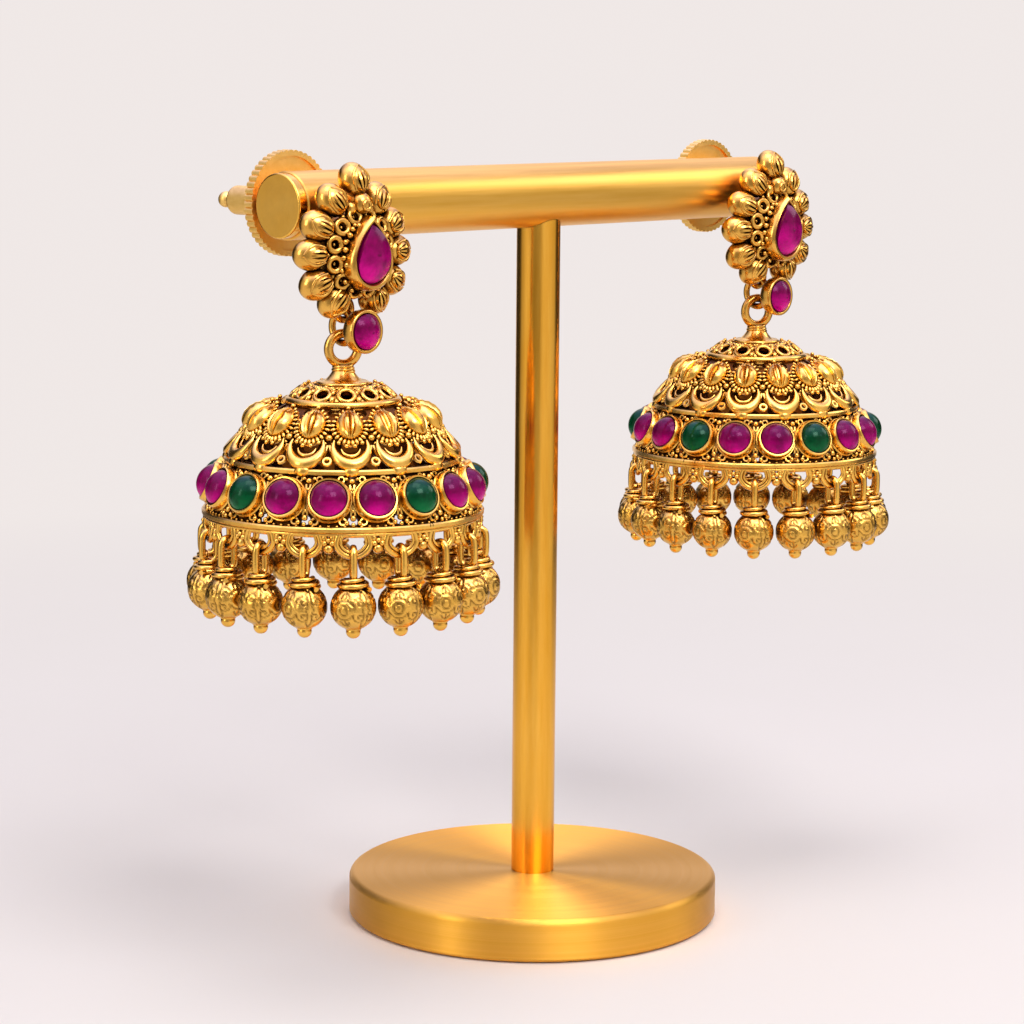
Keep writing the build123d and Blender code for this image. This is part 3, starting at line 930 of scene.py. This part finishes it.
def engravedBead():
    radius = dropSize["bead"]
    bpy.ops.mesh.primitive_uv_sphere_add(segments=88, ring_count=44, radius=radius)
    part = settle(bpy.context.object)
    lines = engravedLines()

    def fromLine(turn, rise, line):
        shrink = math.cos(math.radians(rise))
        best = 99.0
        for (x0, y0), (x1, y1) in zip(line, line[1:]):
            ax, bx = ((turn - x0 + 180) % 360 - 180) * shrink, (x1 - x0) * shrink
            ay, by = rise - y0, y1 - y0
            share = max(0.0, min(1.0, (ax * bx + ay * by) / (bx * bx + by * by + 1e-9)))
            best = min(best, math.hypot(ax - share * bx, ay - share * by))
        return best

    distance = {}
    for vert in part.data.vertices:
        rise = math.degrees(math.asin(max(-1, min(1, vert.co.z / radius))))
        turn = math.degrees(math.atan2(vert.co.y, vert.co.x)) % 360
        distance[vert.index] = min(fromLine(turn, rise, line) for line in lines) if abs(rise) < 66 else 99.0
    wide = engraving["halfWidth"]
    cut = part.data.attributes.new("cut", "FLOAT", "POINT")
    for index, away in distance.items():
        cut.data[index].value = max(0.0, 1 - away / (wide * 1.25))
    shape = editPart(part)
    for vert in shape.verts:
        vert.select_set(distance[vert.index] < wide)
    bmesh.update_edit_mesh(part.data)
    bpy.ops.transform.resize(value=(engraving["depth"],) * 3, center_override=(0, 0, 0))
    bpy.ops.mesh.select_all(action="DESELECT")
    for vert in shape.verts:
        vert.select_set(wide < distance[vert.index] < wide * 2.3)
    bmesh.update_edit_mesh(part.data)
    bpy.ops.transform.resize(value=(1.007,) * 3, center_override=(0, 0, 0))
    leaveEdit()
    return copiesAt(smooth(part, 50), [moved(0, 0, dropSize["height"])])[0]


def dropBeadUnit():
    foot = dropSize["height"] - dropSize["foot"]
    lowRing = ring(0.78, 0.18, (0, 0, foot + 0.02), around=20, section=6)
    return smooth(joinPieces([engravedBead(), lowRing]), 50)


def dropPinUnit():
    top, foot, r = 53.03, 51.2, 0.86
    eye = [(0, y, z) for y, z in arcPoints(r, 0, 180, 7, (0, top))]
    eye += [(0, y, z) for y, z in arcPoints(r, 180, 360, 7, (0, foot))]
    parts = [bentWire(eye, 0.4, closed=True, roundness=3, stepsPerPoint=3)]
    coil = []
    for i in range(34):
        share = i / 33
        a = 2 * math.pi * 2.1 * share - 0.6
        r = 1.6 - 0.62 * max(0.0, share - 0.42) / 0.58
        coil.append((r * math.cos(a), r * math.sin(a), 49.5 + 1.0 * share**1.3))
    coil.insert(0, (1.75, -1.35, 49.45))
    parts.append(bentWire(coil, 0.285, roundness=3, stepsPerPoint=2))
    parts.append(turned([(0, 49.1), (1.5, 49.1), (1.3, 49.7), (0.75, 50.35), (0, 50.45)], 24))
    bpy.ops.mesh.primitive_uv_sphere_add(
        segments=20, ring_count=12, radius=0.82, location=(0, 0, 44.55), scale=(1, 1, 0.92)
    )
    parts.append(bpy.context.object)
    return smooth(joinPieces(parts), 60)


# stud

seedPlaces = [(0, 8.1), (30, 6.8), (61, 6.4), (90, 6.6), (120, 6.6), (150, 6.15)]
studSize = {
    "curl": (0.78, 0.34),
    "curlSpread": 4.25,
    "curls": 12,
    "back": -4.0,
    "height": 85.2,
    "loopHeight": 78.70,
    "postHeight": 90.3,
    "postLength": 15.5,
    "postFront": 0.3,
}


def studPlace(side):
    centre = studMiddle[side]
    return frameOf((centre.x, studSize["back"], studSize["height"]), (1, 0, 0), (0, -1, 0))


def seedUnit():
    bpy.ops.mesh.primitive_uv_sphere_add(segments=28, ring_count=16, radius=1, rotation=(math.pi / 2, 0, 0))
    part = settle(bpy.context.object)
    for low, high, by in ((-0.99, -0.88, 0.55), (-0.88, -0.6, 0.82), (-0.6, -0.3, 0.95)):
        sizeVerts(part, lambda co: low < co.y < high, (by, 1, by))
    part.scale = (1.82, 2.08, 1.66)
    parts = [settle(part)]
    bud = almond((32, 60, 90, 120, 148), 0.6)
    parts += copiesAt(bud, [moved(0, -0.3, 1.0) @ Matrix.Diagonal((0.68, 0.66, 0.7, 1))])
    for x in (-1, 1):  # two lips that open round the bud
        lip = [(x * 0.1, 1.25, 1.38), (x * 0.98, 0.5, 1.36), (x * 1.2, -0.5, 1.22), (x * 0.8, -1.5, 0.85)]
        parts.append(bentWire(lip, 0.22, thickness=[0.4, 1, 1, 0.6], roundness=2))
    lean = Matrix.Rotation(math.radians(-24), 4, "X")
    return copiesAt(smooth(joinPieces(parts), 50), [lean])[0]


pearSize = {"round": 2.45, "roundY": -0.9, "arc": 6.8, "arcX": 4.2115, "arcY": -1.9888, "tip": 3.35}


def pearOutline(steps):
    join = math.degrees(math.atan2(pearSize["roundY"] - pearSize["arcY"], pearSize["arcX"]))
    tip = math.degrees(math.acos(pearSize["arcX"] / pearSize["arc"]))
    flank = arcPoints(pearSize["arc"], tip, join, steps // 4, (-pearSize["arcX"], pearSize["arcY"]))
    belly = arcPoints(pearSize["round"], join, -180 - join, steps // 2 + 2, (0, pearSize["roundY"]))
    return flank + belly[1:-1] + [(-x, y) for x, y in reversed(flank[1:])]


def pearWall(profile, steps=56):
    outline = pearOutline(steps)
    bpy.ops.mesh.primitive_circle_add(vertices=len(outline), radius=1)
    part = bpy.context.object
    for vert, (x, y) in zip(part.data.vertices, outline):
        vert.co = (x, y, 0)

    def sizeFor(grow):
        tall = 2 * pearSize["tip"]
        return (pearSize["round"] + grow) / pearSize["round"], (tall + 2.2 * grow) / tall

    bpy.ops.object.mode_set(mode="EDIT")
    bpy.ops.mesh.select_all(action="SELECT")
    wide, tall, height = 1.0, 1.0, 0.0
    for i, (grow, z) in enumerate(profile + profile[:1]):
        newWide, newTall = sizeFor(grow)
        if i:
            bpy.ops.mesh.extrude_region_move(TRANSFORM_OT_translate={"value": (0, 0, z - height)})
        else:
            bpy.ops.transform.translate(value=(0, 0, z))
        bpy.ops.transform.resize(value=(newWide / wide, newTall / tall, 1), center_override=(0, 0, 0))
        wide, tall, height = newWide, newTall, z
    bpy.ops.mesh.select_all(action="SELECT")
    bpy.ops.mesh.remove_doubles(threshold=0.001)
    bpy.ops.mesh.normals_make_consistent(inside=False)
    leaveEdit()
    return smooth(part, 40)


def curlUnit():
    radius, wire = studSize["curl"]
    unit = [ring(radius, wire, (0, 0, 0), around=22, section=10)]
    unit.append(ring(radius * 0.95, wire, (0, -0.1, -0.62), around=18, section=8))
    unit.append(ring(0.42, 0.2, (1.02, -0.75, -0.25), (0.4, 0.3, 0), around=14, section=6))
    unit.append(ball(0.34, (0.5, -1.05, 0.3)))
    unit.append(ball(0.36, (-0.35, -1.15, 0.45)))
    unit.append(ball(0.42, (1.12, 0.5, -0.45)))
    unit.append(ball(0.26, (0, 0, -0.35)))
    return smooth(joinPieces(unit), 60)


def studFlower():
    plate = turned([(0, 0), (5.2, 0), (5.4, 0.25), (5.2, 0.8), (0, 0.9)], 60)
    parts = [smooth(plate, 40)]
    drum = turned([(0, 0.6), (4.5, 0.6), (4.6, 1.6), (4.2, 2.7), (3.0, 3.2), (0, 3.2)], 48)
    parts.append(smooth(drum, 40))
    places = []
    for angle, distance in seedPlaces:
        for way in (1, -1) if angle else (1,):
            places.append(aboutZ(math.radians(-angle * way)) @ moved(0, distance, 2.25))
    parts += copiesAt(seedUnit(), places)
    lean = Matrix.Rotation(math.radians(-20), 4, "X")
    curlPlace = moved(0, studSize["curlSpread"], 3.6) @ lean
    places = [aboutZ(a) @ curlPlace for a in around(studSize["curls"], 15)]
    parts += copiesAt(curlUnit(), places)
    crest = [ball(1.2, (0, 5.5, 3.5), (0.95, 1.1, 0.95), 3)]
    crest.append(ring(0.5, 0.22, (0, 5.35, 4.5), around=16, section=8))
    crest += [ball(0.75, (x, 5.0, 3.2), (1, 1.1, 1), 2) for x in (-1.35, 1.35)]
    parts += [smooth(part, 60) for part in crest]
    return parts


def studBezel():
    wall = pearWall(
        [
            (1.1, 0.8), (1.0, 2.6), (0.84, 4.3), (0.78, 5.1), (0.68, 5.45), (0.48, 5.66),
            (0.24, 5.64), (0.07, 5.42), (0.04, 4.3), (0.5, 4.0), (0.5, 0.8),
        ]
    )
    parts = [wall]
    for x, y in pearOutline(16):
        if y < 3.2:
            parts.append(smooth(ball(0.3, (x * 1.46, y * 1.38 - 0.05, 4.1)), 60))
    return parts


def studFittings():
    loopHeight = studSize["loopHeight"] - studSize["height"]
    parts = [ring(1.2, 0.42, (0, loopHeight, 0.6), around=36, section=12)]
    length = studSize["postLength"]
    postMiddle = (0, studSize["postHeight"] - studSize["height"], studSize["postFront"] - length / 2)
    bpy.ops.mesh.primitive_cylinder_add(vertices=20, radius=0.5, depth=length, location=postMiddle)
    parts.append(bpy.context.object)
    return [smooth(part, 60) for part in parts]


def stud():
    return joinPieces(studFlower() + studBezel() + studFittings(), "stud")


# link

linkSize = {"ring": 1.8, "wire": 0.42, "centre": 76.66, "bezel": 76.4}


def link():
    hoop = ring(linkSize["ring"], linkSize["wire"], (0, 0, linkSize["centre"]), (0, math.pi / 2, 0), 48, 14)
    cup = turned(
        [
            (0, 1.9), (1.5, 1.9), (2.1, 2.15), (2.42, 2.6), (2.5, 3.2), (2.5, 3.85), (2.42, 3.98),
            (2.3, 4.0), (2.12, 3.95), (2.05, 3.8), (2.05, 3.2), (0, 3.2),
        ],
        48,
    )
    cup = copiesAt(smooth(cup, 50), [frameOf((0, 0, linkSize["bezel"]), (1, 0, 0), (0, -1, 0))])[0]
    return joinPieces([smooth(hoop, 60), cup], "link")


# build and place

shell = bellShell()
print("bell shell pierced")
bellPieces = {
    "shell": shell,
    "petals": bellPetals(),
    "crescents": bellCrescents(),
    "crown": bellCrown(),
    "settings": bellSettings(),
    "bands": bellBands(),
    "fringe": bellFringe(),
}
print("bell ornament modelled")
beadUnit, pinUnit = dropBeadUnit(), dropPinUnit()
dropPlaces = [fringePlace(a) for a in around(fringeSize["count"])]
bellPieces["drop_beads"] = joinPieces(copiesAt(beadUnit, dropPlaces), "drop_beads")
bellPieces["drop_pins"] = joinPieces(copiesAt(pinUnit, dropPlaces), "drop_pins")
print("drops modelled")

replacedNodes = {"shell": "bell", "drop_beads": "drop_beads", "drop_pins": "drop_pins"}
# the drop beads get their engraved finish; the shell gets shadowGold, a painted shade behind the ornaments
finishesAndPaintedShade = {"drop_beads": engravedGold, "shell": shadowGold}
for side in sides:
    axis = bellAxis[side]
    hang = moved(axis.x, axis.y, 0)
    bell, flower = f"{side}_bell", f"{side}_flower"
    place = bellPlace(side)
    for name, master in bellPieces.items():
        copy = master.copy()
        copy.data = master.data.copy()
        bpy.context.collection.objects.link(copy)
        hidden = [f"{side}_{replacedNodes[name]}"] if name in replacedNodes else ()
        finishPiece(copy, f"{bell}_{name}", bell, finishesAndPaintedShade.get(name, antiqueGold), place, hidden)
    finishPiece(bellRing(), f"{bell}_ring", bell, studGold, hang)
    finishPiece(stud(), flower, "stand", studGold, studPlace(side), [f"{side}_stud"])
    linkNode = f"{side}_link"
    finishPiece(link(), f"{linkNode}_dress", linkNode, studGold, hang, [linkNode])
for master in bellPieces.values():
    bpy.data.objects.remove(master)
print("both earrings placed")

# stand and stones keep their solids

slots = {entry["node"]: entry["material_slot"] for entry in frame["record"]["subparts"]}
standMaterials = {"stand_base": baseGold, "stand_post": postGold, "stand_bar": barGold}
for node, thing in frame["nodes"].items():
    if node in standMaterials:
        dress(thing, standMaterials[node])
    elif slots[node] in stoneMaterials:
        dress(thing, stoneMaterials[slots[node]])
    elif "cap" in node:
        dress(thing, polishedGold)
    elif "screw" in node:
        dress(thing, screwGold)
print("stand and stones finished")

# floor, light and camera

studio = {
    "tone": (0.87, 0.81, 0.795),
    "soft": 0.44,
    "overhead": {"tone": (0.92, 0.93, 2.0), "level": 1.5, "from": 0.42, "full": 0.9},
    "floorSize": 6,
    "floorHeight": -0.0002,  # just under the base, so that the two faces don't meet
    "floorFade": (0.10, 0.34),
    "lamps": {
        "keyLamp": ((-0.20, -0.54, 0.64), (0.38, 0.32), 3.2),
        "topLamp": ((-0.12, -0.08, 0.92), (0.46, 0.46), 2.0),
        "sideLamp": ((0.66, -0.26, 0.46), (0.34, 0.30), 0.95),
        "leftLamp": ((-0.78, 0.12, 0.34), (0.16, 0.42), 1.0),
    },
    "mirror": (  # how bright the room looks in polished metal, once round from the -X side
        (0.0, 0.95), (0.06, 0.42), (0.14, 0.5), (0.20, 1.0), (0.27, 1.0), (0.38, 0.8), (0.43, 0.06),
        (0.53, 0.06), (0.58, 1.0), (0.66, 1.0), (0.71, 0.04), (0.81, 0.04), (0.87, 0.66),
        (0.94, 1.0), (1.0, 0.95),
    ),
}


def roomShade(tree, direction):
    turnedRound = tree.nodes.new("ShaderNodeTexGradient")
    turnedRound.gradient_type = "RADIAL"
    tree.links.new(direction, turnedRound.inputs["Vector"])
    ramp = tree.nodes.new("ShaderNodeValToRGB")
    ramp.color_ramp.interpolation = "EASE"
    stops = ramp.color_ramp.elements
    for i, (place, level) in enumerate(studio["mirror"]):
        stop = stops[i] if i < 2 else stops.new(place)
        stop.position = place
        stop.color = (level, level, level, 1)
    tree.links.new(turnedRound.outputs["Fac"], ramp.inputs["Fac"])
    return ramp.outputs["Color"]


def seenRays(tree):
    rays = tree.nodes.new("ShaderNodeLightPath")
    mirrored = combine(tree, "MAXIMUM", rays.outputs["Is Glossy Ray"], rays.outputs["Is Transmission Ray"])
    return rays.outputs["Is Camera Ray"], mirrored


def floorMaterial():
    material, tree, shader, place = newMaterial("paleFloor")
    dark = tuple(c * 0.95 for c in studio["tone"])
    tone = mixColours(tree, grain(tree, place, 6.0, 2), dark, studio["tone"])
    tree.links.new(tone, shader.inputs["Base Color"])
    tree.links.new(remap(tree, grain(tree, place, 40, 2), 0, 1, 0.5, 0.65), shader.inputs["Roughness"])
    shader.inputs["Specular IOR Level"].default_value = 0.2
    reach = tree.nodes.new("ShaderNodeVectorMath")
    reach.operation = "LENGTH"
    tree.links.new(place, reach.inputs[0])
    camera, mirrored = seenRays(tree)
    far = remap(tree, reach.outputs["Value"], *studio["floorFade"], 0, 1)
    far = combine(tree, "MULTIPLY", far, combine(tree, "MAXIMUM", camera, mirrored))
    backdrop = tree.nodes.new("ShaderNodeEmission")  # far off, the floor runs into the background
    backdrop.inputs["Color"].default_value = (*studio["tone"], 1)
    tree.links.new(combine(tree, "MAXIMUM", camera, roomShade(tree, place)), backdrop.inputs["Strength"])
    mix = tree.nodes.new("ShaderNodeMixShader")
    tree.links.new(far, mix.inputs["Fac"])
    tree.links.new(shader.outputs[0], mix.inputs[1])
    tree.links.new(backdrop.outputs[0], mix.inputs[2])
    tree.links.new(mix.outputs[0], tree.nodes["Material Output"].inputs["Surface"])
    return material


bpy.ops.mesh.primitive_plane_add(size=studio["floorSize"], location=(0, 0, studio["floorHeight"]))
floor = bpy.context.object
floor.name = "floor"
dress(floor, floorMaterial())

for name, (place, size, power) in studio["lamps"].items():
    bpy.ops.object.light_add(type="AREA", location=place)
    lamp = bpy.context.object
    lamp.name = name
    lamp.data.shape = "RECTANGLE"
    lamp.data.size, lamp.data.size_y = size
    lamp.data.energy = power
    lamp.rotation_euler = (Vector((0, 0, 0.06)) - Vector(place)).to_track_quat("-Z", "Y").to_euler()

world = bpy.context.scene.world or bpy.data.worlds.new("studio")
bpy.context.scene.world = world
world.use_nodes = True
tree = world.node_tree
tree.nodes.clear()
output = tree.nodes.new("ShaderNodeOutputWorld")
cameraRay, glossyRay = seenRays(tree)
direction = tree.nodes.new("ShaderNodeTexCoord")
heights = tree.nodes.new("ShaderNodeSeparateXYZ")
tree.links.new(direction.outputs["Generated"], heights.inputs["Vector"])
above = studio["overhead"]
overhead = remap(tree, heights.outputs["Z"], above["from"], above["full"], 0, above["level"])
roomGlow = roomShade(tree, direction.outputs["Generated"])
strengths = {"soft": studio["soft"], "mirror": roomGlow, "overhead": overhead, "plain": 1.0}
tones = {"soft": (1.0, 0.97, 0.95), "overhead": above["tone"]}
shades = {}
for name, strength in strengths.items():
    shade = tree.nodes.new("ShaderNodeBackground")
    shade.inputs["Color"].default_value = (*tones.get(name, studio["tone"]), 1)
    if name in ("mirror", "overhead"):
        tree.links.new(strength, shade.inputs["Strength"])
    else:
        shade.inputs["Strength"].default_value = strength
    shades[name] = shade.outputs[0]
reflected = tree.nodes.new("ShaderNodeAddShader")
tree.links.new(shades["mirror"], reflected.inputs[0])
tree.links.new(shades["overhead"], reflected.inputs[1])
last = shades["soft"]
for share, shade in ((glossyRay, reflected.outputs[0]), (cameraRay, shades["plain"])):
    mix = tree.nodes.new("ShaderNodeMixShader")
    tree.links.new(share, mix.inputs["Fac"])
    tree.links.new(last, mix.inputs[1])
    tree.links.new(shade, mix.inputs[2])
    last = mix.outputs[0]
tree.links.new(last, output.inputs["Surface"])

view = {
    "turn": -46.864,
    "rise": 8.743,
    "away": 0.370223,
    "aim": (-0.004352, 0.0, 0.051435),
    "lens": 105.32,
    "roll": 0.495,
}
turn, rise = math.radians(view["turn"]), math.radians(view["rise"])
aim = Vector(view["aim"])
offset = Vector((math.sin(turn) * math.cos(rise), -math.cos(turn) * math.cos(rise), math.sin(rise)))
bpy.ops.object.camera_add(location=aim + offset * view["away"])
camera = bpy.context.object
camera.data.lens = view["lens"]
camera.data.sensor_width = 36
camera.data.clip_start = 0.01
look = (-offset).to_track_quat("-Z", "Y").to_matrix()
camera.rotation_euler = (look @ Matrix.Rotation(math.radians(view["roll"]), 3, "Z")).to_euler()
bpy.context.scene.camera = camera
bpy.context.scene.view_settings.view_transform = "Standard"
print("studio ready")
